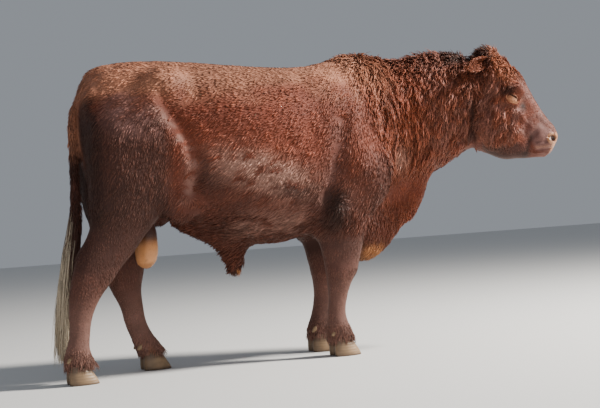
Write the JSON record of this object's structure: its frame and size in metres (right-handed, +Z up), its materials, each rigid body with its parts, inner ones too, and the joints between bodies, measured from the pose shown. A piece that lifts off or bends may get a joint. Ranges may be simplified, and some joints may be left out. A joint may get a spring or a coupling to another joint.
{
  "type": "standing polled red beef bull",
  "caption": "Still life-size model of a polled mahogany-red beef bull, standing with its head turned a little to its right.",
  "frame": {"origin": "middle of the bounding box, on the floor that the claws stand on", "axes": "+X towards the head, +Y to the animal's left, +Z up"},
  "size_m": [2.3962, 0.7199, 1.39],
  "materials": {
    "body_coat": "short hair, deep mahogany red",
    "face_coat": "short curled hair, deep mahogany red",
    "bare_skin": "bare tan skin",
    "switch_hair": "long cream hair",
    "hoof_horn": "worn cream-tan horn",
    "eye": "wet dark brown"
  },
  "bodies": {
    "root": {"head": "face_coat", "lower_jaw": "face_coat", "neck": "body_coat", "rump": "body_coat", "barrel": "body_coat", "chest": "body_coat", "eye_right": "eye", "ear_right": "face_coat", "foreleg_right_forearm": "body_coat", "foreleg_right_foot": "body_coat", "hindleg_right_thigh": "body_coat", "hindleg_right_hock": "body_coat", "hindleg_right_foot": "body_coat", "claw_fore_right_inner": "hoof_horn", "dewclaw_fore_right_inner": "hoof_horn", "claw_fore_right_outer": "hoof_horn", "dewclaw_fore_right_outer": "hoof_horn", "claw_hind_right_inner": "hoof_horn", "dewclaw_hind_right_inner": "hoof_horn", "claw_hind_right_outer": "hoof_horn", "dewclaw_hind_right_outer": "hoof_horn", "eye_left": "eye", "ear_left": "face_coat", "foreleg_left_forearm": "body_coat", "foreleg_left_foot": "body_coat", "hindleg_left_thigh": "body_coat", "hindleg_left_hock": "body_coat", "hindleg_left_foot": "body_coat", "claw_fore_left_inner": "hoof_horn", "dewclaw_fore_left_inner": "hoof_horn", "claw_fore_left_outer": "hoof_horn", "dewclaw_fore_left_outer": "hoof_horn", "claw_hind_left_inner": "hoof_horn", "dewclaw_hind_left_inner": "hoof_horn", "claw_hind_left_outer": "hoof_horn", "dewclaw_hind_left_outer": "hoof_horn", "tail": "body_coat", "tail_switch": "switch_hair", "sheath": "body_coat", "scrotum": "bare_skin"}
  },
  "joints": []
}
